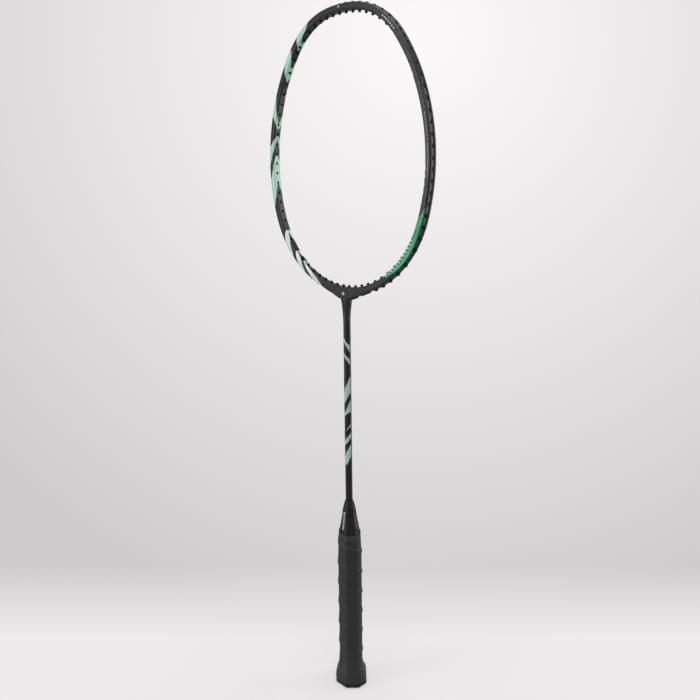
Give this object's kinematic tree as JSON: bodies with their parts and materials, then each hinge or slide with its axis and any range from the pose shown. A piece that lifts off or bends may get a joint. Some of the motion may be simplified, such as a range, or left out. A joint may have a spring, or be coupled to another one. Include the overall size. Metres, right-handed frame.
{
  "type": "badminton racket",
  "caption": "Unstrung badminton racket: hollow oval head with string grommets, slim round shaft, flared cone and an octagonal handle with a wound grip.",
  "frame": {"origin": "centre of the flat butt face at the end of the handle", "axes": "+Z runs along the shaft from the butt to the head, +X lies across the head in the hoop's plane, +Y is normal to the hoop's plane"},
  "size_m": [0.2084, 0.031, 0.6758],
  "materials": {
    "frame_coat": "satin charcoal lacquer over carbon composite",
    "composite_core": "raw moulded composite",
    "shaft_coat": "satin black lacquer with slanted pale green bars",
    "cone_plastic": "satin moulded plastic",
    "handle_wood": "bare light wood",
    "cap_plastic": "fine matt texture",
    "badge_plastic": "satin, plain",
    "staple_steel": "drawn wire",
    "grip_band": "dark polyurethane band with a slight sheen",
    "finishing_band": "thin stretchy tape",
    "grommet_nylon": "black nylon"
  },
  "bodies": {
    "root": {"head_frame": "frame_coat", "t_joint": "composite_core", "shaft": "shaft_coat", "cone_cap": "cone_plastic", "handle_core": "handle_wood", "butt_cap": "cap_plastic", "end_badge": "badge_plastic", "cap_staples": "staple_steel", "grip_wrap": "grip_band", "finishing_tape": "finishing_band", "crown_grommets": "grommet_nylon", "shoulder_grommets_right": "grommet_nylon", "shoulder_grommets_left": "grommet_nylon", "side_grommets_right": "grommet_nylon", "side_grommets_left": "grommet_nylon", "lower_grommets_right": "grommet_nylon", "lower_grommets_left": "grommet_nylon", "inner_bridge_strip_right": "grommet_nylon", "inner_bridge_strip_left": "grommet_nylon", "outer_bridge_strip_right": "grommet_nylon", "outer_bridge_strip_left": "grommet_nylon"}
  },
  "joints": []
}
